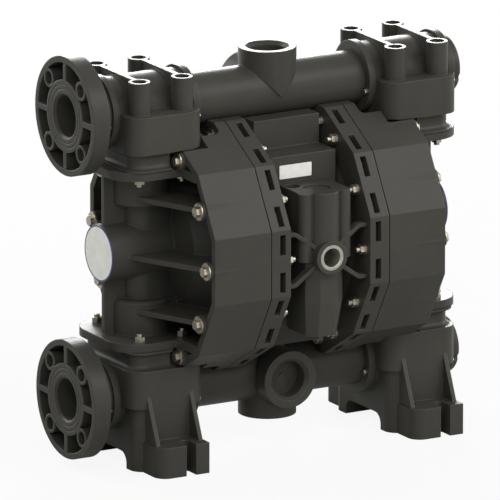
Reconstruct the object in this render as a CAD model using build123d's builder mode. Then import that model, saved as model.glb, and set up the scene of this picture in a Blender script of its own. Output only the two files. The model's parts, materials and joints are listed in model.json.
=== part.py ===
from build123d import *
import os
from math import atan2, cos, degrees, radians, sin, sqrt

# Air operated double diaphragm pump, two inch, in moulded plastic.
# Origin: on the floor, midway between the four feet. X runs along the manifolds with the
# flanges on the minus side, minus Y is the front with the air inlet, and Z is up.

os.makedirs("parts", exist_ok=True)

# Main layout
column_x = 200.0            # valve columns, left and right of the middle
centre_z = 293.0            # shaft axis above the floor
manifold_rise = 198.5       # manifold axes above and below the shaft axis
joint_rise = 126.0          # joints between casings and manifolds, above and below the shaft
seam_x = 92.4               # middle of each diaphragm seam
seam_gap = 1.6              # gap between cover and air casing, filled by the diaphragm
cut_over = 1.0              # how far a cut or a joint runs past a face
small_chamfer = 1.0
fit_gap = 0.1               # radial room round pieces that are pushed or screwed in
running_gap = 0.05          # radial room round pieces that slide
bolt_room = 0.5             # radial room of a bolt in its hole

# Manifold tubes, tees, flanges and caps
tube_r = 36.75
bore_r = 28.7
elbow_bore_r = 30.0
tube_insert = 20.0          # length of a tube end inside an elbow socket
stub_r = 40.0
stub_top = 60.0             # vertical stub, from the manifold axis to its face
stub_side = 64.0            # horizontal stub, from the manifold axis to its face
recess_r = 25.0
recess_depth = 26.0
recess_chamfer = 5.0
flange_face_x = 315.5
flange_thick = 24.7
flange_r = 82.5
flange_hub_r = 50.0
flange_rim = 8.4
flange_web = 4.7            # floor behind the flange pockets
flange_rib = 8.0
flange_pcd_r = 62.5
flange_hole_r = 9.3
flange_hole_wall = 4.0
flange_step = 4.0           # step ring at the back of a flange
flange_step_r = 76.0
flange_neck_r = 46.0
bore_chamfer = 3.0
face_ring_width = 1.5        # two shallow rings in the sealing face
face_ring_depth = 0.6
face_ring_outer = 44.5
face_ring_inner = 38.0
cap_r = 40.0
cap_end_x = 283.0
cap_edge = 3.0
collar_r = 50.5
collar_thick = 10.0
collar_screw_y = 39.7
collar_screw_z = -12.8
collar_screw_r = 2.5
collar_screw_head = 4.0
collar_screw_depth = 12.0
collar_head_room_r = 6.0    # scallops for the screw heads in flange necks and caps
seal_width = 4.0
seal_depth = 2.5

# Valve elbows: a block with a waist towards the casing and a barrel for the tubes
block_x = 57.0
block_y = 84.0
block_corner = 24.0
block_near = 151.0          # block faces, measured from the shaft axis
block_far = 204.0
waist_x = 49.0
waist_y = 73.0
waist_corner = 20.0
foot_spread = 8.0           # how far the thin flange stands out from the waist
waist_blend = 7.2           # fillet from the waist to the flange and to the block
foot_flange = 2.5           # thin flange at the casing end of the waist
barrel_r = 47.0
stud_x = 33.0               # manifold bolts, from the column axis
stud_y = 60.0
stud_boss_r = 15.0
stud_pocket_r = 10.0
stud_boss_top = 51.0        # top of the tall bosses above the manifold axis
stud_head_seat = 8.0        # seat of the bolt heads above the manifold axis
web_thick = 8.0
valve_bore_r = 31.0
ball_stop_r = 6.0

# Legs and feet under the suction elbows
leg_x = 49.0
leg_y = 80.0
leg_corner = 20.0
arch_height = 22.0
arch_front = 50.0
arch_rear = 45.0
arch_corner = 15.0
foot_x = 38.5
foot_end = 125.0
foot_height = 43.0
foot_corner = 18.0
slot_x = 10.5
slot_width = 15.0
slot_length = 27.0
gusset_x = 33.0             # also half the width of the flush face between the gussets
gusset_thick = 6.0
gusset_top = 106.0
gusset_foot = 111.0
gusset_lap = 5.0            # how far a gusset runs into the leg and the foot

# Casings: covers on the liquid side and slotted rings on the air side
facets = 12
chamber_r = 138.0
clamp_land = 12.0           # clamped edge of the diaphragm
bolt_land = 8.0             # from the diaphragm's edge to the bolt circle
rim_land = 15.9             # from the bolt circle to a facet
rim_wall = 10.0
rim_end_x = 180.0
clamp_x = 108.0             # outer face of the cover's clamping rim
duct_start_x = 130.0
air_face_x = 62.3
dish_wall = 8.0
dish_r = 100.0
ridge_x = 112.0
ridge_rise = 0.75           # height of the shallow ridges at the open end of the rim
ridge_half = 5.0            # half their width there
ridge_root = 3.0            # how deep they are rooted in the wall
boss_r = 13.0
boss_end_x = 184.0
top_bolt_angle = 14.0       # bolts either side of the port plates
top_bolt_x = 110.0
pocket_r = 15.0
ring_slot_x = 70.2
ring_slot_width = 9.1
ring_slot_length = 28.4
ring_slot_web = 24.0
ring_slot_depth = 14.0
dome_x = 158.0
dome_r = 82.0
dome_ridge = 3.0
dome_wall = 9.0
hub_r = 40.0
hub_end_x = 262.6
hub_edge = 2.0
chamber_draft = 2.0
hub_room_r = 31.0
hub_room_x = 215.0
port_r = 43.0
port_edge = 3.0             # chamfer at the inner end of a port
port_step = 66.0            # where the port narrows towards the hub
port_floor = 72.0
post_r = 26.0               # post between hub and port, and half the wall behind it
duct_rise = 92.0
duct_r = 20.0
duct_half = 30.0
port_plate_thick = 12.0
port_plate_x = 69.0
port_plate_y = 78.4
port_plate_corner = 45.0
rib_thick = 7.0
rib_rise = 79.0
rib_hub_x = 240.0
rib_port_x = 228.0
spine_x = 257.0
rim_notch_x = 110.0         # where the rim is cut away over the clamp ring
rim_notch_corner = 8.0
notch_room = 2.0
boss_room = 2.5             # room in the elbow round the nearest cover bolts
notch_y = 65.0              # half the width of the rim's notch at the elbow's waist
rib_port_y = 28.0
rib_hub_y = 36.0
rib_angle = 30.0            # place of the cover bolt that a port rib runs to

# Fasteners
bolt_r = 4.0
head_flat = 6.5             # half the width across flats
head_height = 5.3
nut_height = 7.0
thread_over = 4.0           # how far a thread stands out of its nut
washer_r = 12.0
small_washer_r = 8.0
washer_thick = 2.0
bolt_end_x = 48.0

# Valves
seat_r = 38.0
seat_height = 10.0
seat_hole_r = 20.0
seat_chamfer = 3.0
ball_r = 25.4
ball_room = 0.3
ball_lift = 10.0

# Shaft, diaphragms and plates
shaft_r = 14.0
stud_r = 8.0
stud_depth = 25.0
plate_r = 84.0
inner_plate_thick = 10.0
outer_plate_thick = 9.0
diaphragm_thick = 4.8
fold_inset = 4.0            # the fold ends this far inside the chamber's edge
fold_depth = 13.4           # how far the fold bulges
plate_edge = 3.0
inner_plate_flat_r = 67.2
outer_plate_flat_r = 60.5
nose_r = 22.0
nose_root = 6.0
nose_tip_r = 13.2
nose_shoulder = 15.4
nose_length = 22.0
stroke = 15.0               # each way
shaft_clear = 1.0           # radial room round the shaft and the rod between their bushes
plate_room = 6.0            # between the inner plate and the air casing at the end of the stroke
bush_r = 18.0
bush_length = 20.0
seal_length = 6.0
seal_room = 2.0
pilot_r = 5.0
pilot_rise = 68.0
pilot_travel = 5.0          # each way
pilot_gap = 1.0             # least gap between the rod's ends and the plates
pilot_bush_r = 8.0

# Centre block and air valve
wall_front = 53.0
wall_top = 169.0
wall_bottom = 150.0
step_front = 98.0
step_top = 128.0
step_bottom = 110.0
gasket_thick = 1.5
gasket_inset = 2.0
gasket_corner = 4.0
valve_top = 89.0
valve_bottom = 114.0
valve_split = 6.0
valve_half = 38.0
valve_front = 168.0
column_r = 23.0
column_y = 150.0
side_column_r = 10.0
side_column_x = 30.0
side_column_y = 155.0
side_pocket_r = 11.0        # round pocket in the top, left of the columns
side_pocket_x = -25.0
side_pocket_y = 111.5
side_pocket_depth = 40.0
nose_half = 29.0
nose_foot_half = 24.0
nose_flat = 12.5
nose_cheek_y = 155.0
nose_straight = 67.0        # the nose is straight down to here, then tapers and leans back
nose_lean = 7.0
inlet_y = 178.0
inlet_boss_r = 23.5
inlet_insert_r = 17.5
inlet_bore_r = 12.45
inlet_depth = 26.0
air_way_r = 7.0
arm_thick = 5.5
arm_front = 165.0
arm_rear = 153.0
arm_x = 50.0
arm_z = 36.0
arm_room = 0.3
arm_bend_r = 8.0
spool_y = 136.0
sleeve_r = 14.0
spool_r = 10.0
spool_travel = 16.0
spool_rest = 0.3            # gap at either end of the spool's travel
sleeve_end = 86.0
valve_cap_r = 19.0
valve_cap_sink = 5.0        # depth of the recess that holds the end plate
cap_plate = 3.0
cap_plate_edge = 1.0
land = 12.0
tube_room = 1.5
air_way_rise = 36.0
sleeve_port_r = 6.0
spool_core_r = 6.0
land_shares = (0, 0.3, 0.7, 1)      # places of the spool's lands along its length
silencer_thread_length = 16.0
plate_width = 50.0
plate_height = 19.0
plate_thick = 0.8
plate_x = -12.0
plate_rise = 106.0
plate_corner = 1.5
badge_r = 39.0
badge_thick = 1.0
silencer_r = 21.0
silencer_length = 66.0
silencer_thread_r = 12.0
silencer_groove_count = 5
silencer_groove_start = 14.0
silencer_groove_pitch = 9.0
silencer_groove_width = 4.0
silencer_groove_depth = 2.0
silencer_edge = 5.0


def across(x):
    """Plane square to the shaft at x, with Y to the right and Z up, centred on the shaft."""
    return Plane(origin=(x, 0, centre_z), x_dir=(0, 1, 0), z_dir=(1, 0, 0))


def level(rise):
    """Horizontal plane at a rise above the shaft axis."""
    return Plane.XY.offset(centre_z + rise)


def facing(y):
    """Upright plane that faces the front at y, with X to the right and Z up."""
    return Plane(origin=(0, y, centre_z), x_dir=(1, 0, 0), z_dir=(0, -1, 0))


def on_circle(radius, angle):
    """Place in a plane across the shaft, at an angle from plus Y."""
    return (radius * cos(radians(angle)), radius * sin(radians(angle)))


shaft_plane = facing(0)
clamp_r = chamber_r + clamp_land        # where the dome springs from the clamping rim
bolt_circle_r = clamp_r + bolt_land
casing_flat = bolt_circle_r + rim_land  # from the shaft axis to a facet
facet_turn = radians(60)                # the facet beside the top one
# Half the width of the wall that closes the rim at a port, up to the middle of the rim's wall
chord_half = (casing_flat - rim_wall / 2 - joint_rise * sin(facet_turn)) / cos(facet_turn)
inner_plate_x = seam_x - diaphragm_thick / 2
shaft_end_x = inner_plate_x - inner_plate_thick
dish_x = shaft_end_x - stroke - plate_room - dish_wall      # back of the air casing
pilot_half = shaft_end_x - stroke + pilot_travel - pilot_gap
sleeve_top = valve_top - valve_cap_sink
sleeve_length = sleeve_top + sleeve_end
spool_length = sleeve_length - spool_travel - 2 * spool_rest
shaft_axis = Axis((0, 0, centre_z), (1, 0, 0))
top_z = centre_z + manifold_rise
bottom_z = centre_z - manifold_rise
cover_x = seam_x + seam_gap / 2
casing_x = seam_x - seam_gap / 2
socket_x = column_x - block_x + tube_insert
rim_spots = [on_circle(bolt_circle_r, a) for a in range(0, 360, 30) if a not in (90, 270)]
top_spots = [
    on_circle(bolt_circle_r, a + side * top_bolt_angle) for a in (90, 270) for side in (-1, 1)
]
facet_turns = [Location((0, 0, 0), (0, 0, a)) for a in range(0, 360, 30) if a not in (90, 270)]
stud_spots = [(sx * stud_x, sy * stud_y) for sx in (-1, 1) for sy in (-1, 1)]
ridge_slope = ridge_rise / (rim_end_x - ridge_x)
ridge_angle = degrees(atan2(ridge_slope, 1))
ridge_sink = ridge_slope * (ridge_x - cover_x)
seat_gap = sqrt(ball_r**2 - seat_hole_r**2) - seat_chamfer + ball_room
suction_ball_z = centre_z - joint_rise + seat_height / 2 + seat_gap
discharge_ball_z = centre_z + joint_rise + seat_height / 2 + seat_gap


# Cover on the liquid side: a twelve-sided rim, a dome, a hub and two ports
with BuildPart() as cover:
    with BuildSketch(across(cover_x)):
        RegularPolygon(casing_flat, facets, major_radius=False, rotation=15)
    extrude(amount=rim_end_x - cover_x)
    # Shallow ridges along the bolts, which rise out of the facets at ridge_x
    root_half = (ridge_root - ridge_sink) * ridge_half / ridge_rise
    with BuildSketch(across(cover_x)):
        with Locations(*facet_turns):
            Polygon(
                (casing_flat - ridge_root, -root_half),
                (casing_flat - ridge_sink, 0),
                (casing_flat - ridge_root, root_half),
                align=None,
            )
    extrude(amount=rim_end_x - cover_x, taper=-ridge_angle)
    with BuildSketch(across(clamp_x)):
        RegularPolygon(casing_flat - rim_wall, facets, major_radius=False, rotation=15)
    extrude(amount=boss_end_x - clamp_x, mode=Mode.SUBTRACT)
    with BuildSketch(across(cover_x)):
        with Locations(*rim_spots):
            Circle(boss_r)
    extrude(amount=boss_end_x - cover_x)
    with BuildSketch(shaft_plane):
        with BuildLine():
            Polyline(
                (cover_x, 0),
                (cover_x, clamp_r),
                (clamp_x, clamp_r),
                (dome_x, dome_r + dome_ridge),
                (dome_x + dome_ridge, dome_r),
                (dome_x, dome_r - dome_ridge),
                (dome_x + dome_wall, hub_r),
                (hub_end_x, hub_r),
                (hub_end_x, 0),
                close=True,
            )
        make_face()
    revolve(axis=shaft_axis)
    fillet(cover.faces().sort_by(Axis.X)[-1].edges(), hub_edge)
    for side in (-1, 1):
        inner, outer = sorted((side * port_step, side * (joint_rise - port_plate_thick / 2)))
        with BuildSketch(level(inner)):
            with Locations((column_x, 0)):
                Circle(port_r - port_edge)
            with Locations(((column_x + duct_start_x) / 2, 0)):
                Rectangle(column_x - duct_start_x, 2 * duct_half)
        extrude(amount=outer - inner)
        with BuildSketch(shaft_plane):
            with BuildLine():
                Polyline(
                    (column_x, side * port_step),
                    (column_x + port_r - port_edge, side * port_step),
                    (column_x + port_r, side * (port_step + port_edge)),
                    (column_x + port_r, side * (joint_rise - port_plate_thick / 2)),
                    (column_x, side * (joint_rise - port_plate_thick / 2)),
                    close=True,
                )
            make_face()
        revolve(axis=Axis((column_x, 0, 0), (0, 0, 1)))
        with BuildSketch(level(0)):
            with Locations((column_x, 0)):
                Circle(post_r)
            with Locations(((column_x + duct_start_x) / 2, 0)):
                Rectangle(column_x - duct_start_x, 2 * post_r)
        extrude(amount=side * port_step)
        plate_low = min(side * joint_rise, side * (joint_rise - port_plate_thick))
        with BuildSketch(level(plate_low)):
            with Locations((column_x, 0)):
                RectangleRounded(2 * port_plate_x, 2 * port_plate_y, port_plate_corner)
            with BuildLine():
                Polyline(
                    (clamp_x, -chord_half),
                    (rim_end_x, -chord_half),
                    (rim_end_x, chord_half),
                    (clamp_x, chord_half),
                    close=True,
                )
            make_face()
        extrude(amount=port_plate_thick)
        end_y, _ = on_circle(bolt_circle_r, rib_angle)
        with BuildSketch(level(side * rib_rise - rib_thick / 2)):
            for way in (-1, 1):
                with BuildLine():
                    Polyline(
                        (rib_port_x, way * rib_port_y),
                        (rim_end_x, way * end_y),
                        (clamp_x, way * end_y),
                        (clamp_x, way * rib_port_y),
                        close=True,
                    )
                make_face()
        extrude(amount=rib_thick)
        with BuildSketch(facing(rib_thick / 2)):
            with Locations(((column_x + spine_x) / 2, side * (joint_rise - port_plate_thick) / 2)):
                Rectangle(spine_x - column_x, joint_rise - port_plate_thick)
        extrude(amount=rib_thick)
    with BuildSketch(level(-rib_thick / 2)):
        for way in (-1, 1):
            with BuildLine():
                Polyline(
                    (rib_hub_x, way * rib_hub_y),
                    (rim_end_x, way * bolt_circle_r),
                    (clamp_x, way * bolt_circle_r),
                    (clamp_x, way * rib_hub_y),
                    close=True,
                )
            make_face()
    extrude(amount=rib_thick)
    for side in (-1, 1):
        # Notch in the rim that the elbow sits in
        with BuildSketch(across(column_x - block_x - notch_room)):
            with Locations((0, side * (block_near - notch_room + casing_flat / 2))):
                Rectangle(2 * (block_y + notch_room), casing_flat)
            with Locations((0, side * (joint_rise + casing_flat / 2))):
                Rectangle(2 * notch_y, casing_flat)
        extrude(amount=rim_end_x, mode=Mode.SUBTRACT)
        with BuildSketch(level(side * clamp_r)):
            with Locations((rim_end_x, 0)):
                RectangleRounded(2 * (rim_end_x - rim_notch_x), 2 * notch_y, rim_notch_corner)
        extrude(amount=side * 2 * (casing_flat - clamp_r), mode=Mode.SUBTRACT)
        # Port, seat pocket and duct into the chamber
        with BuildSketch(level(side * port_floor)):
            with Locations((column_x, 0)):
                Circle(valve_bore_r)
        extrude(amount=side * (joint_rise - port_floor + cut_over), mode=Mode.SUBTRACT)
        with BuildSketch(level(side * (joint_rise - seat_height / 2))):
            with Locations((column_x, 0)):
                Circle(seat_r + fit_gap)
        extrude(amount=side * seat_height, mode=Mode.SUBTRACT)
        with BuildSketch(across(column_x)):
            with Locations((0, side * duct_rise)):
                Circle(duct_r)
        extrude(amount=-(column_x - duct_start_x), mode=Mode.SUBTRACT)
        with BuildSketch(level(side * (joint_rise - port_plate_thick))):
            with Locations(*[(column_x + x, y) for x, y in stud_spots]):
                Circle(bolt_r + bolt_room)
        extrude(amount=side * (port_plate_thick + cut_over), mode=Mode.SUBTRACT)
    with BuildSketch(across(top_bolt_x)):
        with Locations(*top_spots):
            Circle(pocket_r)
        for y, z in top_spots:
            with Locations((y, z + (pocket_r if z > 0 else -pocket_r))):
                Rectangle(2 * pocket_r, 2 * pocket_r)
    extrude(amount=column_x - block_x - top_bolt_x, mode=Mode.SUBTRACT)
    with BuildSketch(across(cover_x)):
        with Locations(*rim_spots, *top_spots):
            Circle(bolt_r + bolt_room)
    extrude(amount=boss_end_x - cover_x, mode=Mode.SUBTRACT)
    with BuildSketch(across(cover_x)):
        with Locations((0, manifold_rise), (0, -manifold_rise)):
            Circle(tube_r + tube_room)
    extrude(amount=column_x - block_x - cover_x, mode=Mode.SUBTRACT)
    with BuildSketch(across(column_x - block_x - collar_thick - notch_room)):
        with Locations((0, manifold_rise), (0, -manifold_rise)):
            Circle(collar_r + notch_room)
    extrude(amount=collar_thick + notch_room, mode=Mode.SUBTRACT)
    with BuildSketch(across(boss_end_x)):
        with Locations(*rim_spots):
            Circle(boss_r)
    extrude(amount=washer_thick + head_height, mode=Mode.SUBTRACT)
    # Liquid chamber
    with BuildSketch(shaft_plane):
        with BuildLine():
            Polyline(
                (cover_x, 0),
                (cover_x, chamber_r),
                (clamp_x - dome_wall / 2, chamber_r - chamber_draft),
                (dome_x - dome_wall, dome_r - dome_wall),
                (dome_x, hub_room_r),
                (hub_room_x, hub_room_r),
                (hub_room_x, 0),
                close=True,
            )
        make_face()
    revolve(axis=shaft_axis, mode=Mode.SUBTRACT)


# Air casing: a dished plate with a slotted twelve-sided ring
with BuildPart() as casing:
    with BuildSketch(across(air_face_x)):
        RegularPolygon(casing_flat, facets, major_radius=False, rotation=15)
    extrude(amount=casing_x - air_face_x)
    with BuildSketch(shaft_plane):
        with BuildLine():
            Polyline(
                (dish_x, 0),
                (dish_x, dish_r),
                (air_face_x, chamber_r - dish_wall),
                (air_face_x, chamber_r + dish_wall),
                (casing_x, chamber_r + dish_wall),
                (casing_x, 0),
                close=True,
            )
        make_face()
    revolve(axis=shaft_axis)
    slot_shift = (ring_slot_web + ring_slot_length) / 2
    slot_mid = casing_flat - ring_slot_depth / 2
    with BuildSketch(across(ring_slot_x)):
        with Locations(*facet_turns):
            with Locations((slot_mid, slot_shift), (slot_mid, -slot_shift)):
                Rectangle(ring_slot_depth, ring_slot_length)
    extrude(amount=ring_slot_width, mode=Mode.SUBTRACT)
    with BuildSketch(shaft_plane):
        with BuildLine():
            Polyline(
                (dish_x + dish_wall, 0),
                (dish_x + dish_wall, dish_r - dish_wall / 2),
                (air_face_x + dish_wall, chamber_r - dish_wall),
                (casing_x - dish_wall, chamber_r),
                (casing_x, chamber_r),
                (casing_x, 0),
                close=True,
            )
        make_face()
    revolve(axis=shaft_axis, mode=Mode.SUBTRACT)
    with BuildSketch(across(dish_x)):
        Circle(bush_r + fit_gap)
        with Locations((0, pilot_rise)):
            Circle(pilot_r + fit_gap)
    extrude(amount=dish_wall, mode=Mode.SUBTRACT)
    with BuildSketch(across(air_face_x)):
        with Locations(*rim_spots, *top_spots):
            Circle(bolt_r + bolt_room)
        with Locations((0, manifold_rise), (0, -manifold_rise)):
            Circle(tube_r + tube_room)
    extrude(amount=casing_x - air_face_x, mode=Mode.SUBTRACT)

# Diaphragm: a clamped rim, a rolled fold and a flat middle between the plates
with BuildPart() as diaphragm:
    with BuildSketch(shaft_plane):
        half = diaphragm_thick / 2
        fold_end_r = chamber_r - fold_inset
        with BuildLine():
            Polyline((seam_x - half, stud_r + fit_gap), (seam_x - half, plate_r))
            SagittaArc((seam_x - half, plate_r), (seam_x - half, fold_end_r), -fold_depth)
            Polyline(
                (seam_x - half, fold_end_r),
                (seam_x - seam_gap / 2, chamber_r),
                (seam_x - seam_gap / 2, clamp_r),
                (seam_x + seam_gap / 2, clamp_r),
                (seam_x + seam_gap / 2, chamber_r),
                (seam_x + half, fold_end_r),
            )
            SagittaArc((seam_x + half, fold_end_r), (seam_x + half, plate_r), fold_depth)
            Polyline(
                (seam_x + half, plate_r),
                (seam_x + half, stud_r + fit_gap),
                (seam_x - half, stud_r + fit_gap),
            )
        make_face()
    revolve(axis=shaft_axis)

# Diaphragm plates: a flat washer inside and a rounded clamp with a stud outside
with BuildPart() as inner_plate:
    with BuildSketch(shaft_plane):
        with BuildLine():
            Polyline(
                (shaft_end_x, stud_r + fit_gap),
                (inner_plate_x, stud_r + fit_gap),
                (inner_plate_x, plate_r),
                (inner_plate_x - plate_edge, plate_r),
                (shaft_end_x, inner_plate_flat_r),
                close=True,
            )
        make_face()
    revolve(axis=shaft_axis)

with BuildPart() as outer_plate:
    plate_back = seam_x + diaphragm_thick / 2
    with BuildSketch(shaft_plane):
        with BuildLine():
            Polyline(
                (shaft_end_x - stud_depth, 0),
                (shaft_end_x - stud_depth, stud_r),
                (plate_back, stud_r),
                (plate_back, plate_r),
                (plate_back + plate_edge, plate_r),
                (plate_back + outer_plate_thick, outer_plate_flat_r),
                (plate_back + outer_plate_thick, nose_r + nose_root),
                (plate_back + outer_plate_thick + nose_shoulder, nose_r),
                (plate_back + outer_plate_thick + nose_length, nose_tip_r),
                (plate_back + outer_plate_thick + nose_length, 0),
                close=True,
            )
        make_face()
    revolve(axis=shaft_axis)


def cover_bolt_set(spots, seat_x, end_x):
    """Bolts along X with their washers against seat_x and their thread ends at end_x."""
    with BuildPart() as bolts:
        with BuildSketch(across(end_x)):
            with Locations(*spots):
                Circle(bolt_r)
        extrude(amount=seat_x + washer_thick - end_x)
        with BuildSketch(across(seat_x + washer_thick)):
            with Locations(*spots):
                RegularPolygon(head_flat, 6, major_radius=False, rotation=15)
        extrude(amount=head_height)
    return bolts.part


# Bolts, washers and nuts that clamp a cover to its air casing
rim_bolts = cover_bolt_set(rim_spots, boss_end_x, bolt_end_x)
port_bolts = cover_bolt_set(top_spots, top_bolt_x, dish_x + bolt_room)
with BuildPart() as cover_bolts:
    add(rim_bolts)
    add(port_bolts)

with BuildPart() as cover_washers:
    for spots, seat_x, radius in (
        (rim_spots, boss_end_x, washer_r),
        (top_spots, top_bolt_x, washer_r),
        (rim_spots + top_spots, air_face_x - washer_thick, small_washer_r),
    ):
        with BuildSketch(across(seat_x)):
            with Locations(*spots):
                Circle(radius)
                Circle(bolt_r + fit_gap, mode=Mode.SUBTRACT)
        extrude(amount=washer_thick)

with BuildPart() as cover_nuts:
    with BuildSketch(across(air_face_x - washer_thick - nut_height)):
        with Locations(*rim_spots, *top_spots):
            RegularPolygon(head_flat, 6, major_radius=False, rotation=15)
            Circle(bolt_r + fit_gap, mode=Mode.SUBTRACT)
    extrude(amount=nut_height)

with BuildPart() as hub_badge:
    with BuildSketch(across(hub_end_x)):
        Circle(badge_r)
    extrude(amount=badge_thick)

for side, sign in (("left", -1), ("right", 1)):
    for name, piece in (
        ("product_cover", cover),
        ("air_casing", casing),
        ("diaphragm", diaphragm),
        ("inner_diaphragm_plate", inner_plate),
        ("outer_diaphragm_plate", outer_plate),
        ("cover_bolts", cover_bolts),
        ("cover_washers", cover_washers),
        ("cover_nuts", cover_nuts),
        ("hub_badge", hub_badge),
    ):
        with BuildPart() as placed:
            if sign > 0:
                add(piece.part)
            else:
                mirror(piece.part, about=Plane.YZ)
        placed.part.label = f"{name}_{side}"
        export_step(placed.part, f"parts/{name}_{side}.step")

screw_spots = [(way * collar_screw_y, collar_screw_z) for way in (-1, 1)]

# Elbow body shared by all four valve columns, drawn above the shaft at X = 0
with BuildPart() as elbow:
    with BuildSketch(level(block_near)):
        RectangleRounded(2 * block_x, 2 * block_y, block_corner)
    extrude(amount=block_far - block_near)
    with BuildSketch(level(joint_rise)):
        RectangleRounded(2 * waist_x, 2 * waist_y, waist_corner)
    extrude(amount=block_near - joint_rise)
    with BuildSketch(level(joint_rise)):
        RectangleRounded(
            2 * (waist_x + foot_spread), 2 * (waist_y + foot_spread), waist_corner + foot_spread
        )
    extrude(amount=foot_flange)
    for rise in (joint_rise + foot_flange, block_near):
        loop = elbow.edges().filter_by(
            lambda e: abs(e.center().Z - centre_z - rise) < 0.01
            and e.bounding_box().max.X < waist_x + 0.1
            and e.bounding_box().min.X > -waist_x - 0.1
            and e.bounding_box().max.Y < waist_y + 0.1
            and e.bounding_box().min.Y > -waist_y - 0.1
        )
        fillet(loop, waist_blend)
    with BuildSketch(Plane.YZ.offset(-block_x)):
        with Locations((0, top_z)):
            Circle(barrel_r)
    extrude(amount=2 * block_x)

with BuildPart() as elbow_room:
    with BuildSketch(Plane.YZ.offset(-block_x)):
        with Locations((0, top_z)):
            Circle(elbow_bore_r)
    extrude(amount=2 * block_x)
    for x in (-block_x, block_x - tube_insert):
        with BuildSketch(Plane.YZ.offset(x)):
            with Locations((0, top_z)):
                Circle(tube_r + fit_gap)
        extrude(amount=tube_insert)
    with BuildSketch(level(joint_rise)):
        Circle(valve_bore_r)
    extrude(amount=manifold_rise - joint_rise)
    with BuildSketch(level(joint_rise)):
        Circle(seat_r + fit_gap)
    extrude(amount=seat_height / 2)
    with BuildSketch(level(joint_rise)):
        with Locations(*stud_spots):
            Circle(bolt_r + bolt_room)
    extrude(amount=block_far - joint_rise + stud_boss_top)
    for x, grow in ((-block_x, 1), (block_x, -1)):
        with BuildSketch(Plane.YZ.offset(x)):
            with Locations((0, top_z)):
                with Locations(*screw_spots):
                    Circle(collar_screw_r + fit_gap)
                with Locations(*[(y, -z) for y, z in screw_spots]):
                    Circle(collar_screw_r + fit_gap)
        extrude(amount=grow * (collar_screw_depth + cut_over))

with BuildPart() as discharge_elbow:
    add(elbow.part)
    with BuildSketch(level(block_far - cut_over)):
        with Locations(*stud_spots):
            Circle(stud_boss_r)
    extrude(amount=manifold_rise + stud_boss_top - block_far + cut_over)
    for sx in (-1, 1):
        with BuildSketch(Plane.YZ.offset(sx * stud_x - web_thick / 2)):
            with Locations((0, top_z + stud_boss_top / 2)):
                Rectangle(2 * stud_y, stud_boss_top)
        extrude(amount=web_thick)
    add(elbow_room.part, mode=Mode.SUBTRACT)
    with BuildSketch(level(manifold_rise + stud_head_seat)):
        with Locations(*stud_spots):
            Circle(stud_pocket_r)
    extrude(amount=stud_boss_top, mode=Mode.SUBTRACT)
    # Stop above the ball
    stop_z = discharge_ball_z + ball_r + ball_lift + ball_room
    with BuildSketch(Plane.XY.offset(stop_z)):
        Circle(ball_stop_r)
    extrude(amount=top_z + (elbow_bore_r + barrel_r) / 2 - stop_z)

with BuildPart() as suction_elbow:
    mirror(elbow.part, about=Plane.XY.offset(centre_z))
    leg_top = centre_z - (block_near + block_far) / 2
    with BuildSketch():
        RectangleRounded(2 * leg_x, 2 * leg_y, leg_corner)
        Rectangle(2 * gusset_x, 2 * block_y)
    extrude(amount=leg_top)
    with BuildSketch():
        for way in (-1, 1):
            with Locations((0, way * (foot_end + leg_y - leg_corner) / 2)):
                Rectangle(2 * foot_x, foot_end - leg_y + leg_corner)
    extrude(amount=foot_height)
    corners = suction_elbow.edges().filter_by(Axis.Z).filter_by(
        lambda e: abs(abs(e.center().Y) - foot_end) < 0.1 and e.center().X < 0
    )
    fillet(corners, foot_corner)
    with BuildSketch():
        for way in (-1, 1):
            with Locations((slot_x, way * (foot_end - slot_length + slot_width / 2))):
                Circle(slot_width / 2)
            with Locations((slot_x, way * foot_end)):
                Rectangle(slot_width, 2 * slot_length - slot_width)
    extrude(amount=foot_height, mode=Mode.SUBTRACT)
    for sx in (-1, 1):
        with BuildSketch(Plane.YZ.offset(sx * gusset_x - gusset_thick / 2)):
            for way in (-1, 1):
                with BuildLine():
                    Polyline(
                        (way * (leg_y - gusset_lap), gusset_top),
                        (way * block_y, gusset_top),
                        (way * gusset_foot, foot_height),
                        (way * gusset_foot, foot_height - gusset_lap),
                        (way * (leg_y - gusset_lap), foot_height - gusset_lap),
                        close=True,
                    )
                make_face()
        extrude(amount=gusset_thick)
    with BuildSketch(Plane.YZ.offset(-leg_x)):
        with Locations(((arch_rear - arch_front) / 2, 0)):
            RectangleRounded(arch_front + arch_rear, 2 * arch_height, arch_corner)
    extrude(amount=2 * leg_x, mode=Mode.SUBTRACT)
    add(elbow_room.part.mirror(Plane.XY.offset(centre_z)), mode=Mode.SUBTRACT)
    with BuildSketch():
        with Locations(*stud_spots):
            Circle(stud_pocket_r)
    extrude(amount=bottom_z - stud_head_seat, mode=Mode.SUBTRACT)

bolt_room_length = boss_end_x + washer_thick + head_height + boss_room - column_x + block_x
for side, sign in (("left", -1), ("right", 1)):
    for name, piece, up in (
        ("discharge_elbow", discharge_elbow, 1),
        ("suction_elbow", suction_elbow, -1),
    ):
        with BuildPart() as placed:
            with Locations((sign * column_x, 0, 0)):
                add(piece.part)
            # Room for the nearest cover bolts, on the casing side
            with BuildSketch(across(sign * (column_x - block_x))):
                with Locations(*[(y, z) for y, z in rim_spots if up * z > joint_rise]):
                    Circle(boss_r + boss_room)
            extrude(amount=sign * bolt_room_length, mode=Mode.SUBTRACT)
        placed.part.label = f"{name}_{side}"
        export_step(placed.part, f"parts/{name}_{side}.step")

# Seal of a tube end, centred on the X axis, which is also the shape of its groove
with BuildPart() as tube_seal:
    with BuildSketch(Plane.YZ.offset(-seal_width / 2)):
        Circle(tube_r + fit_gap)
        Circle(tube_r - seal_depth, mode=Mode.SUBTRACT)
    extrude(amount=seal_width)

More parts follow.
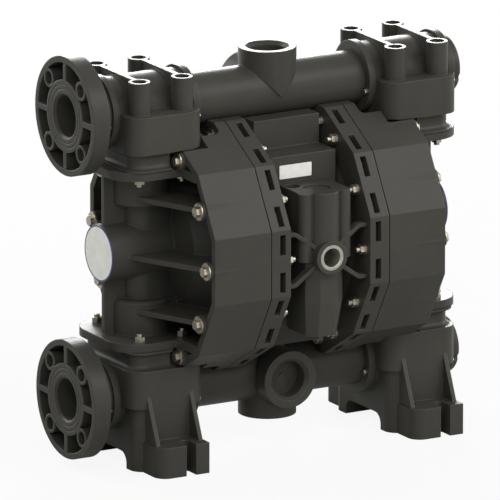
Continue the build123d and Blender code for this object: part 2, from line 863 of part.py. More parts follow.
# Stub of a tee, drawn upwards from the tube axis, with a mitred root
with BuildPart() as stub_form:
    Cylinder(stub_r, stub_side, align=(Align.CENTER, Align.CENTER, Align.MIN))
    with BuildSketch(Plane.XZ):
        with BuildLine():
            Polyline(
                (0, 0),
                (stub_side, stub_side),
                (-stub_side, stub_side),
                close=True,
            )
        make_face()
    extrude(amount=stub_side, both=True, mode=Mode.INTERSECT)
    with Locations((0, 0, stub_side)):
        CounterSinkHole(recess_r, recess_r + recess_chamfer, recess_depth, 90)


# Tee: a tube with two blind stubs, one up and one to the rear
with BuildPart() as tee:
    with BuildSketch(Plane.YZ.offset(-socket_x)):
        Circle(tube_r)
    extrude(amount=2 * socket_x)
    with Locations((0, 0, stub_top - stub_side)):
        add(stub_form.part)
    add(stub_form.part, rotation=(-90, 0, 0))
    with BuildSketch(Plane.YZ.offset(-socket_x)):
        Circle(bore_r)
    extrude(amount=2 * socket_x, mode=Mode.SUBTRACT)
    with Locations((-socket_x + tube_insert / 2, 0, 0), (socket_x - tube_insert / 2, 0, 0)):
        add(tube_seal.part, mode=Mode.SUBTRACT)

for name, axis_z, turn in (("suction_tee", bottom_z, 180), ("discharge_tee", top_z, 0)):
    with BuildPart() as placed:
        with Locations((0, 0, axis_z)):
            add(tee.part, rotation=(turn, 0, 0))
    placed.part.label = name
    export_step(placed.part, f"parts/{name}.step")

# Flange with eight deep pockets between its hub and its rim, facing minus X
with BuildPart() as flange:
    face = Plane(origin=(-flange_face_x, 0, 0), x_dir=(0, -1, 0), z_dir=(-1, 0, 0))
    elbow_end = column_x + block_x
    with BuildSketch(face):
        Circle(flange_r)
    extrude(amount=-flange_thick)
    with BuildSketch(face.offset(-flange_thick)):
        Circle(flange_step_r)
    extrude(amount=-flange_step)
    with BuildSketch(face.offset(-flange_thick)):
        Circle(flange_neck_r)
    extrude(amount=-(flange_face_x - flange_thick - elbow_end - collar_thick))
    with BuildSketch(face.offset(-flange_thick)):
        Circle(tube_r)
    extrude(amount=-(flange_face_x - flange_thick - elbow_end + tube_insert))
    with BuildSketch(Plane.YZ.offset(-elbow_end - collar_thick)):
        with Locations(*screw_spots):
            Circle(collar_head_room_r)
    extrude(
        amount=-(flange_face_x - flange_thick - flange_step - elbow_end - collar_thick),
        mode=Mode.SUBTRACT,
    )
    with BuildSketch(face):
        Circle(flange_r - flange_rim)
        Circle(flange_hub_r, mode=Mode.SUBTRACT)
        with PolarLocations(0, 4):
            Rectangle(2 * flange_r, flange_rib, align=(Align.MIN, Align.CENTER), mode=Mode.SUBTRACT)
        with PolarLocations(flange_pcd_r, 4, 45):
            Circle(flange_hole_r + flange_hole_wall, mode=Mode.SUBTRACT)
    extrude(amount=-(flange_thick - flange_web), mode=Mode.SUBTRACT)
    with BuildSketch(face):
        with PolarLocations(flange_pcd_r, 4, 45):
            Circle(flange_hole_r)
        Circle(bore_r)
    extrude(amount=-(flange_face_x - elbow_end + tube_insert), mode=Mode.SUBTRACT)
    for radius in (face_ring_outer, face_ring_inner):
        with BuildSketch(face):
            Circle(radius)
            Circle(radius - face_ring_width, mode=Mode.SUBTRACT)
        extrude(amount=-face_ring_depth, mode=Mode.SUBTRACT)
    rim_edges = flange.edges().filter_by(GeomType.CIRCLE).filter_by(
        lambda e: abs(e.radius - bore_r) < 0.01 and e.center().X < -flange_face_x + 1
    )
    chamfer(rim_edges, bore_chamfer)
    with Locations((-elbow_end + tube_insert / 2, 0, 0)):
        add(tube_seal.part, mode=Mode.SUBTRACT)

# Closing cap at the far end of a manifold
with BuildPart() as cap:
    with BuildSketch(Plane.YZ.offset(elbow_end + collar_thick)):
        Circle(cap_r)
    extrude(amount=cap_end_x - elbow_end - collar_thick)
    fillet(cap.faces().sort_by(Axis.X)[-1].edges(), cap_edge)
    with BuildSketch(Plane.YZ.offset(elbow_end - tube_insert)):
        Circle(tube_r)
    extrude(amount=tube_insert + collar_thick)
    with BuildSketch(Plane.YZ.offset(elbow_end - tube_insert)):
        Circle(bore_r)
    extrude(amount=tube_insert + (cap_end_x - elbow_end) / 2, mode=Mode.SUBTRACT)
    with BuildSketch(Plane.YZ.offset(elbow_end + collar_thick)):
        with Locations(*screw_spots):
            Circle(collar_head_room_r)
    extrude(amount=cap_end_x - elbow_end - collar_thick, mode=Mode.SUBTRACT)
    with Locations((elbow_end - tube_insert / 2, 0, 0)):
        add(tube_seal.part, mode=Mode.SUBTRACT)

for prefix, axis_z in (("suction", bottom_z), ("discharge", top_z)):
    for name, piece in (("flange", flange), ("end_cap", cap)):
        with BuildPart() as placed:
            with Locations((0, 0, axis_z)):
                add(piece.part)
        placed.part.label = f"{prefix}_{name}"
        export_step(placed.part, f"parts/{prefix}_{name}.step")

# Clamp rings with two screws each, and the tube seals, at both sides of every elbow
joint_faces = [(way * column_x + side * block_x, side) for way in (-1, 1) for side in (-1, 1)]
ring_list = {"suction": bottom_z, "discharge": top_z}
for prefix, axis_z in ring_list.items():
    with BuildPart() as rings:
        for face_x, grow in joint_faces:
            with BuildSketch(Plane.YZ.offset(face_x)):
                with Locations((0, axis_z)):
                    Circle(collar_r)
                    Circle(tube_r + fit_gap, mode=Mode.SUBTRACT)
                    with Locations(*screw_spots):
                        Circle(collar_screw_r + fit_gap, mode=Mode.SUBTRACT)
            extrude(amount=grow * collar_thick)
    rings.part.label = f"{prefix}_clamp_rings"
    export_step(rings.part, f"parts/{prefix}_clamp_rings.step")

with BuildPart() as clamp_screws:
    for axis_z in ring_list.values():
        for face_x, grow in joint_faces:
            with BuildSketch(Plane.YZ.offset(face_x - grow * collar_screw_depth)):
                with Locations(*[(y, axis_z + z) for y, z in screw_spots]):
                    Circle(collar_screw_r)
            extrude(amount=grow * (collar_screw_depth + collar_thick))
            with BuildSketch(Plane.YZ.offset(face_x + grow * collar_thick)):
                with Locations(*[(y, axis_z + z) for y, z in screw_spots]):
                    RegularPolygon(collar_screw_head, 6, major_radius=False)
            extrude(amount=grow * collar_screw_head)
clamp_screws.part.label = "clamp_ring_screws"
export_step(clamp_screws.part, "parts/clamp_ring_screws.step")

with BuildPart() as manifold_seals:
    for axis_z in ring_list.values():
        for face_x, grow in joint_faces:
            with Locations((face_x - grow * tube_insert / 2, 0, axis_z)):
                add(tube_seal.part)
manifold_seals.part.label = "manifold_seals"
export_step(manifold_seals.part, "parts/manifold_seals.step")

# Valve seats and balls, one set in each column
with BuildPart() as seat:
    Cylinder(seat_r, seat_height)
    with Locations((0, 0, seat_height / 2)):
        CounterSinkHole(seat_hole_r, seat_hole_r + seat_chamfer, seat_height, 90)

with BuildPart() as ball:
    Sphere(ball_r)

for prefix, seat_z, ball_z in (
    ("suction", centre_z - joint_rise, suction_ball_z),
    ("discharge", centre_z + joint_rise, discharge_ball_z),
):
    for side, sign in (("left", -1), ("right", 1)):
        for name, piece, z in (("valve_seat", seat, seat_z), ("valve_ball", ball, ball_z)):
            with BuildPart() as placed:
                with Locations((sign * column_x, 0, z)):
                    add(piece.part)
            placed.part.label = f"{prefix}_{name}_{side}"
            export_step(placed.part, f"parts/{prefix}_{name}_{side}.step")


def stud_group(head_rise, end_rise, nut_rise):
    """Bolts with heads at head_rise and thread ends at end_rise, and their nuts, for one level."""
    places = [(way * column_x + x, y) for way in (-1, 1) for x, y in stud_spots]
    up = 1 if head_rise > 0 else -1
    with BuildPart() as bolts:
        with BuildSketch(level(end_rise)):
            with Locations(*places):
                Circle(bolt_r)
        extrude(amount=head_rise - end_rise)
        with BuildSketch(level(head_rise)):
            with Locations(*places):
                RegularPolygon(head_flat, 6, major_radius=False)
        extrude(amount=up * head_height)
    with BuildPart() as nuts:
        with BuildSketch(level(nut_rise)):
            with Locations(*places):
                RegularPolygon(head_flat, 6, major_radius=False)
                Circle(bolt_r + fit_gap, mode=Mode.SUBTRACT)
        extrude(amount=-up * nut_height)
    return bolts.part, nuts.part


# Manifold bolts from the tall bosses or the suction elbows to nuts on the casing plates
plate_inside = joint_rise - port_plate_thick
thread_end = plate_inside - nut_height - thread_over
top_bolts, top_nuts = stud_group(manifold_rise + stud_head_seat, thread_end, plate_inside)
low_bolts, low_nuts = stud_group(-manifold_rise - stud_head_seat, -thread_end, -plate_inside)
for name, upper, lower in (
    ("manifold_bolts", top_bolts, low_bolts),
    ("manifold_nuts", top_nuts, low_nuts),
):
    with BuildPart() as placed:
        add(upper)
        add(lower)
    placed.part.label = name
    export_step(placed.part, f"parts/{name}.step")

# Shaft with its bushes and seals
with BuildPart() as shaft:
    with BuildSketch(across(-shaft_end_x)):
        Circle(shaft_r)
    extrude(amount=2 * shaft_end_x)
    for way in (-1, 1):
        with BuildSketch(across(way * (shaft_end_x - stud_depth))):
            Circle(stud_r + fit_gap)
        extrude(amount=way * stud_depth, mode=Mode.SUBTRACT)
    chamfer(shaft.faces().filter_by(Axis.X).sort_by(Axis.X)[0].edges(), small_chamfer)
    chamfer(shaft.faces().filter_by(Axis.X).sort_by(Axis.X)[-1].edges(), small_chamfer)
shaft.part.label = "diaphragm_shaft"
export_step(shaft.part, "parts/diaphragm_shaft.step")

with BuildPart() as shaft_bushes:
    for way in (-1, 1):
        with BuildSketch(across(way * (dish_x + dish_wall))):
            Circle(bush_r)
            Circle(shaft_r + running_gap, mode=Mode.SUBTRACT)
        extrude(amount=-way * bush_length)
shaft_bushes.part.label = "shaft_bushes"
export_step(shaft_bushes.part, "parts/shaft_bushes.step")

with BuildPart() as shaft_seals:
    for way in (-1, 1):
        with BuildSketch(across(way * (dish_x + dish_wall - bush_length - seal_room))):
            Circle(bush_r)
            Circle(shaft_r + running_gap, mode=Mode.SUBTRACT)
        extrude(amount=-way * seal_length)
shaft_seals.part.label = "shaft_seals"
export_step(shaft_seals.part, "parts/shaft_seals.step")

with BuildPart() as pilot_rod:
    with BuildSketch(across(-pilot_half)):
        with Locations((0, pilot_rise)):
            Circle(pilot_r)
    extrude(amount=2 * pilot_half)
    chamfer(pilot_rod.faces().filter_by(Axis.X).edges(), small_chamfer)
pilot_rod.part.label = "pilot_rod"
export_step(pilot_rod.part, "parts/pilot_rod.step")

with BuildPart() as pilot_bushes:
    for way in (-1, 1):
        with BuildSketch(across(way * dish_x)):
            with Locations((0, pilot_rise)):
                Circle(pilot_bush_r)
                Circle(pilot_r + running_gap, mode=Mode.SUBTRACT)
        extrude(amount=-way * bush_length)
pilot_bushes.part.label = "pilot_bushes"
export_step(pilot_bushes.part, "parts/pilot_bushes.step")

# Centre block between the two air casings
with BuildPart() as centre_block:
    with BuildSketch(across(-dish_x)):
        with Locations((0, (wall_top - wall_bottom) / 2)):
            Rectangle(2 * wall_front, wall_top + wall_bottom)
        with Locations((-(wall_front + step_front) / 2, (step_top - step_bottom) / 2)):
            Rectangle(step_front - wall_front, step_top + step_bottom)
    extrude(amount=2 * dish_x)
    with BuildSketch(across(-dish_x)):
        for rise in (manifold_rise, -manifold_rise):
            with Locations((0, rise)):
                Circle(tube_r + tube_room)
    extrude(amount=2 * dish_x, mode=Mode.SUBTRACT)
    # Room for the rear stub of the upper tee
    with BuildSketch(facing(0)):
        with Locations((0, manifold_rise)):
            Circle(stub_r + tube_room)
    extrude(amount=-wall_front, mode=Mode.SUBTRACT)
    with BuildSketch(across(-dish_x)):
        Circle(bush_r + fit_gap)
        with Locations((0, pilot_rise)):
            Circle(pilot_bush_r + fit_gap)
    extrude(amount=bush_length - dish_wall + seal_room + seal_length, mode=Mode.SUBTRACT)
    with BuildSketch(across(dish_x)):
        Circle(bush_r + fit_gap)
        with Locations((0, pilot_rise)):
            Circle(pilot_bush_r + fit_gap)
    extrude(amount=-(bush_length - dish_wall + seal_room + seal_length), mode=Mode.SUBTRACT)
    with BuildSketch(across(-dish_x)):
        Circle(shaft_r + shaft_clear)
        with Locations((0, pilot_rise)):
            Circle(pilot_r + shaft_clear)
    extrude(amount=2 * dish_x, mode=Mode.SUBTRACT)
    # Air ways to the valve and to the silencer
    with BuildSketch(facing(-step_front)):
        for rise in (-air_way_rise, air_way_rise):
            with Locations((0, rise)):
                Circle(air_way_r)
    extrude(amount=-(step_front - shaft_r), mode=Mode.SUBTRACT)
    with BuildSketch(facing(wall_front)):
        Circle(silencer_thread_r + fit_gap)
    extrude(amount=silencer_thread_length, mode=Mode.SUBTRACT)
centre_block.part.label = "centre_block"
export_step(centre_block.part, "parts/centre_block.step")

with BuildPart() as nameplate:
    with BuildSketch(facing(-step_front)):
        with Locations((plate_x, plate_rise)):
            RectangleRounded(plate_width, plate_height, plate_corner)
    extrude(amount=plate_thick)
nameplate.part.label = "nameplate"
export_step(nameplate.part, "parts/nameplate.step")

with BuildPart() as valve_gasket:
    with BuildSketch(facing(-step_front)):
        with Locations((0, (valve_top - valve_bottom) / 2)):
            RectangleRounded(
                2 * valve_half, valve_top + valve_bottom - 2 * gasket_inset, gasket_corner
            )
        for rise in (-air_way_rise, air_way_rise):
            with Locations((0, rise)):
                Circle(air_way_r, mode=Mode.SUBTRACT)
    extrude(amount=gasket_thick)
valve_gasket.part.label = "air_valve_gasket"
export_step(valve_gasket.part, "parts/air_valve_gasket.step")

# Air valve body: ribbed upper half, tapered nose, inlet boss and four arms
valve_back = step_front + gasket_thick
with BuildPart() as valve_body:
    with BuildSketch(level(-valve_split)):
        with Locations((0, -(valve_back + side_column_y) / 2)):
            Rectangle(2 * valve_half, side_column_y - valve_back)
        with Locations((0, -column_y)):
            Circle(column_r)
        with Locations((side_column_x, -side_column_y), (-side_column_x, -side_column_y)):
            Circle(side_column_r)
    extrude(amount=valve_top + valve_split)
    # Nose: straight at first, then tapered and leaning back towards its foot
    nose_levels = (
        (0, nose_half, 0),
        (-nose_straight, nose_half, 0),
        (-valve_bottom, nose_foot_half, nose_lean),
    )
    for (top, top_half, top_lean), (foot, foot_half, foot_lean) in zip(nose_levels, nose_levels[1:]):
        for rise, half_width, lean in ((top, top_half, top_lean), (foot, foot_half, foot_lean)):
            with BuildSketch(level(rise)):
                Polygon(
                    (-half_width, -valve_back),
                    (-half_width, -nose_cheek_y + lean),
                    (-nose_flat, -valve_front + lean),
                    (nose_flat, -valve_front + lean),
                    (half_width, -nose_cheek_y + lean),
                    (half_width, -valve_back),
                    align=None,
                )
        loft()
    with BuildSketch(facing(-inlet_y)):
        Circle(inlet_boss_r)
    extrude(amount=-(inlet_y - column_y))
    for sx in (-1, 1):
        for sz in (-1, 1):
            with BuildSketch(facing(-arm_front)):
                with BuildLine():
                    FilletPolyline(
                        (0, 0),
                        (sx * arm_x, sz * arm_z),
                        (sx * (air_face_x - arm_room - arm_thick / 2), sz * arm_z),
                        radius=arm_bend_r,
                    )
                    offset(amount=arm_thick / 2, side=Side.BOTH)
                make_face()
            extrude(amount=-(arm_front - arm_rear))
    with BuildSketch(level(-sleeve_end)):
        with Locations((0, -spool_y)):
            Circle(sleeve_r + fit_gap)
    extrude(amount=sleeve_length, mode=Mode.SUBTRACT)
    with BuildSketch(level(sleeve_top)):
        with Locations((0, -spool_y)):
            Circle(valve_cap_r + fit_gap)
    extrude(amount=valve_cap_sink, mode=Mode.SUBTRACT)
    with BuildSketch(level(valve_top)):
        with Locations((side_pocket_x, -side_pocket_y)):
            Circle(side_pocket_r)
    extrude(amount=-side_pocket_depth, mode=Mode.SUBTRACT)
    with BuildSketch(facing(-inlet_y)):
        Circle(inlet_insert_r + fit_gap)
    extrude(amount=-inlet_depth, mode=Mode.SUBTRACT)
    with BuildSketch(facing(-inlet_y + inlet_depth)):
        Circle(air_way_r)
    extrude(amount=-(inlet_y - inlet_depth - spool_y), mode=Mode.SUBTRACT)
    with BuildSketch(facing(-valve_back)):
        for rise in (-air_way_rise, air_way_rise):
            with Locations((0, rise)):
                Circle(air_way_r)
    extrude(amount=spool_y - valve_back, mode=Mode.SUBTRACT)
valve_body.part.label = "air_valve_body"
export_step(valve_body.part, "parts/air_valve_body.step")

with BuildPart() as valve_cap:
    with BuildSketch(level(sleeve_top)):
        with Locations((0, -spool_y)):
            Circle(valve_cap_r)
    extrude(amount=cap_plate)
    chamfer(valve_cap.faces().sort_by(Axis.Z)[-1].edges(), cap_plate_edge)
valve_cap.part.label = "air_valve_cap"
export_step(valve_cap.part, "parts/air_valve_cap.step")

with BuildPart() as inlet_insert:
    with BuildSketch(facing(-inlet_y)):
        Circle(inlet_insert_r)
        Circle(inlet_bore_r, mode=Mode.SUBTRACT)
    extrude(amount=-inlet_depth)
    mouth = inlet_insert.edges().filter_by(
        lambda e: abs(e.center().Y + inlet_y) < 0.1 and abs(e.radius - inlet_bore_r) < 0.1
    )
    chamfer(mouth, small_chamfer)
inlet_insert.part.label = "air_inlet_insert"
export_step(inlet_insert.part, "parts/air_inlet_insert.step")

# Sleeve with ports, and the spool that slides in it
with BuildPart() as sleeve:
    with BuildSketch(level(-sleeve_end)):
        with Locations((0, -spool_y)):
            Circle(sleeve_r)
            Circle(spool_r + running_gap, mode=Mode.SUBTRACT)
    extrude(amount=sleeve_length)
    for rise in (-air_way_rise, 0, air_way_rise):
        with BuildSketch(facing(-spool_y)):
            with Locations((0, rise)):
                Circle(sleeve_port_r)
        extrude(amount=sleeve_r + cut_over, both=True, mode=Mode.SUBTRACT)
sleeve.part.label = "air_valve_sleeve"
export_step(sleeve.part, "parts/air_valve_sleeve.step")

with BuildPart() as spool:
    spool_foot = -sleeve_end + spool_rest
    with BuildSketch(level(spool_foot)):
        with Locations((0, -spool_y)):
            Circle(spool_core_r)
    extrude(amount=spool_length)
    for share in land_shares:
        with BuildSketch(level(spool_foot + share * (spool_length - land))):
            with Locations((0, -spool_y)):
                Circle(spool_r)
        extrude(amount=land)
spool.part.label = "air_valve_spool"
export_step(spool.part, "parts/air_valve_spool.step")

# Silencer screwed into the back of the centre block
with BuildPart() as silencer:
    with BuildSketch(facing(wall_front)):
        Circle(silencer_thread_r)
    extrude(amount=silencer_thread_length - cut_over)
    with BuildSketch(facing(wall_front)):
        Circle(silencer_r)
    extrude(amount=-silencer_length)
    fillet(silencer.faces().sort_by(Axis.Y)[-1].edges(), silencer_edge)
    for k in range(silencer_groove_count):
        groove_y = wall_front + silencer_groove_start + k * silencer_groove_pitch
        with BuildSketch(facing(groove_y)):
            Circle(silencer_r)
            Circle(silencer_r - silencer_groove_depth, mode=Mode.SUBTRACT)
        extrude(amount=-silencer_groove_width, mode=Mode.SUBTRACT)
silencer.part.label = "exhaust_silencer"
export_step(silencer.part, "parts/exhaust_silencer.step")
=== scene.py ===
"""Finish, floor, light and camera for the air operated diaphragm pump.

The pieces come from the frame and keep their shapes and places. Lengths are
metres, lamp powers are watts, and colours are sRGB values of 0 to 255.
"""
import json
import math

import bpy
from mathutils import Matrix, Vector

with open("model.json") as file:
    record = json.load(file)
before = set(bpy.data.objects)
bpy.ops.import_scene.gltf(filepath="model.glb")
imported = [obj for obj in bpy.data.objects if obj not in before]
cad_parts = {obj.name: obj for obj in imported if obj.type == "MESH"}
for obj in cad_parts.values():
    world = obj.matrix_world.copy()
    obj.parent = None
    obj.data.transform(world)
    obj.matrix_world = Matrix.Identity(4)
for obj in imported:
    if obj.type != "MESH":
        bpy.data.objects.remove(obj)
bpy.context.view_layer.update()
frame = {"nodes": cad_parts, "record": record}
nodes = frame["nodes"]

# Camera: a long lens, so that the view is close to a parallel projection
VIEW_AZIMUTH = math.radians(29.7)
VIEW_ELEVATION = math.radians(14.8)
VIEW_CENTRE = Vector((-0.0269, 0.0, 0.2668))
VIEW_WIDTH = 0.683
LENS = 1000.0
SENSOR = 36.0
CLIP_START = 1.0
CLIP_REACH = 4.0            # far clip, in distances from the camera to the pump

# Floor and world
FLOOR_SIDE = 60.0
FLOOR_DROP = 0.0005         # room under the feet, so that no faces coincide
FLOOR_WHITE = 0.9           # share of plain white that the camera sees on the floor
WORLD_LIGHT = 0.13          # strength of the world as a light
WORLD_WHITE = 1.0           # strength of the world where it is seen

# Softboxes: name, place, side and power
LAMPS = (
    ("key", (1.9, -2.4, 2.4), 1.8, 48.0),
    ("fill", (-1.9, -2.4, 2.4), 1.8, 38.0),
    ("high", (0.2, -2.4, 2.9), 1.8, 26.0),
    ("low", (0.3, -3.8, 0.5), 1.8, 30.0),
    ("right", (3.7, -0.6, 1.2), 1.8, 45.0),
    ("back", (1.9, 3.4, 1.6), 1.2, 90.0),
    ("rear", (-1.6, 2.8, 2.2), 1.8, 60.0),
    ("rear_low", (-0.6, 3.6, 0.5), 1.8, 40.0),
)

# Ranges that the materials share
FULL = (0.0, 1.0)
NOISE_SPREAD = (0.3, 0.7)   # where most values of a noise lie
FADE_SPREAD = (0.35, 0.7)   # the same, with more of the surface left clean
EDGE_TURN = (0.99, 0.75)    # cosine between face and rounded edge, where the mask is 0 and 1
BEVEL_SAMPLES = 6
WHITE = (1.0, 1.0, 1.0, 1.0)

# The left hub badge in the frame gives the shaft's height and the badge's radius
badge_heights = [corner.co.z for corner in nodes["hub_badge_left"].data.vertices]
SHAFT_Z = (max(badge_heights) + min(badge_heights)) / 2
BADGE_R = (max(badge_heights) - min(badge_heights)) / 2
BADGE_FIELD = 0.94          # share of the badge's radius inside its dark rim


def linear(*srgb):
    """Linear colour with alpha 1 from sRGB values of 0 to 255, by the sRGB curve."""
    parts = [v / 255 for v in srgb]
    return [p / 12.92 if p <= 0.04045 else ((p + 0.055) / 1.055) ** 2.4 for p in parts] + [1.0]


class Graph:
    """A node tree and short ways to add nodes to it."""

    def __init__(self, tree):
        self.tree = tree

    def add(self, kind, **settings):
        node = self.tree.nodes.new(kind)
        for key, value in settings.items():
            setattr(node, key, value)
        return node

    def link(self, source, target):
        self.tree.links.new(source, target)

    def remap(self, value, spread, to=FULL):
        """Value moved from the range spread to the range to, and kept inside it."""
        node = self.add("ShaderNodeMapRange")
        for key, number in zip(("From Min", "From Max", "To Min", "To Max"), (*spread, *to)):
            node.inputs[key].default_value = number
        self.link(value, node.inputs["Value"])
        return node.outputs["Result"]

    def mix(self, amount, first, second):
        """Colour between first and second; each is a colour or a socket."""
        node = self.add("ShaderNodeMix", data_type="RGBA")
        self.link(amount, node.inputs["Factor"])
        for key, value in (("A", first), ("B", second)):
            socket = next(s for s in node.inputs if s.name == key and s.type == "RGBA")
            if isinstance(value, bpy.types.NodeSocket):
                self.link(value, socket)
            else:
                socket.default_value = value
        return next(s for s in node.outputs if s.type == "RGBA")

    def math(self, operation, first, second=None):
        """Result of a math node; first and second are numbers or sockets."""
        node = self.add("ShaderNodeMath", operation=operation)
        for socket, value in zip(node.inputs, (first, second)):
            if isinstance(value, bpy.types.NodeSocket):
                self.link(value, socket)
            elif value is not None:
                socket.default_value = value
        return node.outputs["Value"]


class Shader(Graph):
    """A procedural material, drawn in the object's own coordinates."""

    def __init__(self, name):
        self.material = bpy.data.materials.new(name)
        self.material.use_nodes = True
        super().__init__(self.material.node_tree)
        self.surface = self.tree.nodes["Principled BSDF"]
        self.place = self.add("ShaderNodeTexCoord").outputs["Object"]

    def noise(self, scale, detail=3.0, roughness=0.5, stretch=None):
        source = self.place
        if stretch:
            mapping = self.add("ShaderNodeMapping")
            mapping.inputs["Scale"].default_value = stretch
            self.link(source, mapping.inputs["Vector"])
            source = mapping.outputs["Vector"]
        node = self.add("ShaderNodeTexNoise")
        for key, number in (("Scale", scale), ("Detail", detail), ("Roughness", roughness)):
            node.inputs[key].default_value = number
        self.link(source, node.inputs["Vector"])
        return node.outputs["Fac"]

    def relief(self, height, distance, strength=1.0, normal=None):
        """Normal with the height's grain, over the given normal if there is one."""
        node = self.add("ShaderNodeBump")
        node.inputs["Strength"].default_value = strength
        node.inputs["Distance"].default_value = distance
        self.link(height, node.inputs["Height"])
        if normal:
            self.link(normal, node.inputs["Normal"])
        return node.outputs["Normal"]

    def rounded(self, radius):
        """Normal that rounds sharp edges."""
        bevel = self.add("ShaderNodeBevel", samples=BEVEL_SAMPLES)
        bevel.inputs["Radius"].default_value = radius
        return bevel.outputs["Normal"]

    def edge_mask(self, normal):
        """1 where the rounded normal turns away from the face, and 0 on flat ground."""
        shape = self.add("ShaderNodeNewGeometry")
        facing = self.add("ShaderNodeVectorMath", operation="DOT_PRODUCT")
        self.link(normal, facing.inputs[0])
        self.link(shape.outputs["Normal"], facing.inputs[1])
        return self.remap(facing.outputs["Value"], EDGE_TURN)

    def finish(self, colour, roughness, normal, **values):
        """Material with these sockets linked and any other inputs set by name."""
        for key, source in (("Base Color", colour), ("Roughness", roughness), ("Normal", normal)):
            self.link(source, self.surface.inputs[key])
        for key, value in values.items():
            self.surface.inputs[key.replace("_", " ")].default_value = value
        return self.material


def moulded(name, tone, pale, grain=0.00006):
    """Moulded plastic: flow marks, fine grain, slightly polished, with a painted highlight that
    makes the edges paler.
    """
    rough = (0.32, 0.44)
    edge_highlight_gain = 2.1         # how much paler the painted edge highlights are than the pale tone
    scuff_tint = 0.3        # share of the painted edge-highlight tone on scuffed ground
    scuff_roughness = 0.2
    s = Shader(name)
    normal = s.rounded(radius=0.002)
    edges = s.edge_mask(normal)
    flow = s.noise(scale=9.0, detail=5.0, roughness=0.6, stretch=(1.0, 1.6, 0.6))
    fine = s.noise(scale=1400.0, detail=2.0)
    scuff = s.remap(s.noise(scale=70.0, detail=6.0, roughness=0.7), (0.55, 0.75), (0.0, 0.35))
    body = s.mix(s.remap(flow, NOISE_SPREAD), tone, pale)
    # Random strength of the painted edge highlight, so that it breaks up along the edges
    edge_highlight_breakup = s.remap(s.noise(scale=160.0), (0.35, 0.65), (0.4, 0.85))
    # Painted highlight: the edge mask makes rounded edges paler, as if they caught the light
    painted_edge_highlight = s.math("MULTIPLY", edges, edge_highlight_breakup)
    highlight_and_scuff = s.math("MAXIMUM", painted_edge_highlight, s.math("MULTIPLY", scuff, scuff_tint))
    # Pale tone of the painted edge highlight, which the real scuffs also take on in part
    highlight_and_scuff_tone = [min(1.0, edge_highlight_gain * v) for v in pale[:3]] + [1.0]
    colour = s.mix(highlight_and_scuff, body, highlight_and_scuff_tone)
    smooth = s.remap(flow, NOISE_SPREAD, rough)
    roughness = s.math("ADD", smooth, s.math("MULTIPLY", scuff, scuff_roughness))
    bump = s.relief(fine, distance=grain, strength=0.6, normal=normal)
    return s.finish(colour, roughness, bump, IOR=1.5, Specular_IOR_Level=0.12)


def turned_metal(name, tone, dark, rough=(0.2, 0.38)):
    """Bright metal with fine machining marks and a little dirt."""
    s = Shader(name)
    normal = s.rounded(radius=0.0005)
    marks = s.noise(scale=60.0, detail=4.0, roughness=0.7, stretch=(30.0, 30.0, 30.0))
    dirt = s.remap(s.noise(scale=240.0, detail=4.0), (0.45, 0.7), (0.0, 0.6))
    colour = s.mix(dirt, tone, dark)
    roughness = s.remap(marks, NOISE_SPREAD, rough)
    bump = s.relief(marks, distance=0.00003, strength=0.5, normal=normal)
    return s.finish(colour, roughness, bump, Metallic=1.0)


def threaded_metal(name, tone, dark):
    """Inlet insert: a turned face, with thread turns down the bore."""
    s = Shader(name)
    normal = s.rounded(radius=0.0004)
    wave = s.add("ShaderNodeTexWave", wave_type="BANDS", bands_direction="Y")
    wave.inputs["Scale"].default_value = 160.0
    s.link(s.place, wave.inputs["Vector"])
    marks = s.noise(scale=200.0, detail=4.0)
    dirt = s.remap(marks, (0.4, 0.7), (0.0, 0.5))
    colour = s.mix(dirt, tone, dark)
    bump = s.relief(wave.outputs["Fac"], distance=0.0005, strength=0.8, normal=normal)
    return s.finish(colour, s.remap(marks, NOISE_SPREAD, (0.28, 0.42)), bump, Metallic=1.0)


def rubber(name, tone, bloom_tone):
    """Matt rubber with a pale bloom in patches."""
    s = Shader(name)
    bloom = s.remap(s.noise(scale=40.0, detail=4.0), (0.4, 0.7))
    colour = s.mix(bloom, tone, bloom_tone)
    roughness = s.remap(bloom, FULL, (0.6, 0.8))
    return s.finish(colour, roughness, s.relief(s.noise(scale=900.0), distance=0.00005))


def polymer(name, tone, stain):
    """Pale machined or polished plastic."""
    s = Shader(name)
    cloud = s.remap(s.noise(scale=35.0, detail=4.0), FADE_SPREAD)
    fine = s.noise(scale=500.0, stretch=(1.0, 1.0, 6.0))
    colour = s.mix(cloud, tone, stain)
    roughness = s.remap(fine, NOISE_SPREAD, (0.25, 0.4))
    return s.finish(colour, roughness, s.relief(fine, distance=0.00003))


def round_badge(name, tone, faded, rim_tone):
    """Printed disc: a pale field inside a plain dark rim."""
    s = Shader(name)
    split = s.add("ShaderNodeSeparateXYZ")
    s.link(s.place, split.inputs["Vector"])
    rise = s.math("SUBTRACT", split.outputs["Z"], SHAFT_Z)
    rise_square = s.math("MULTIPLY", rise, rise)
    across_square = s.math("MULTIPLY", split.outputs["Y"], split.outputs["Y"])
    radius = s.math("SQRT", s.math("ADD", rise_square, across_square))
    rim = s.math("GREATER_THAN", radius, BADGE_R * BADGE_FIELD)
    fade = s.remap(s.noise(scale=60.0, detail=4.0), FADE_SPREAD)
    colour = s.mix(rim, s.mix(fade, tone, faded), rim_tone)
    roughness = s.remap(fade, FULL, (0.3, 0.42))
    return s.finish(colour, roughness, s.relief(s.noise(scale=700.0), distance=0.00002))


def blank_plate(name, tone, faded):
    """Printed plate with nothing on it but its ground."""
    s = Shader(name)
    fade = s.remap(s.noise(scale=90.0, detail=4.0), FADE_SPREAD)
    colour = s.mix(fade, tone, faded)
    roughness = s.remap(fade, FULL, (0.32, 0.45))
    return s.finish(colour, roughness, s.relief(s.noise(scale=800.0), distance=0.00002))


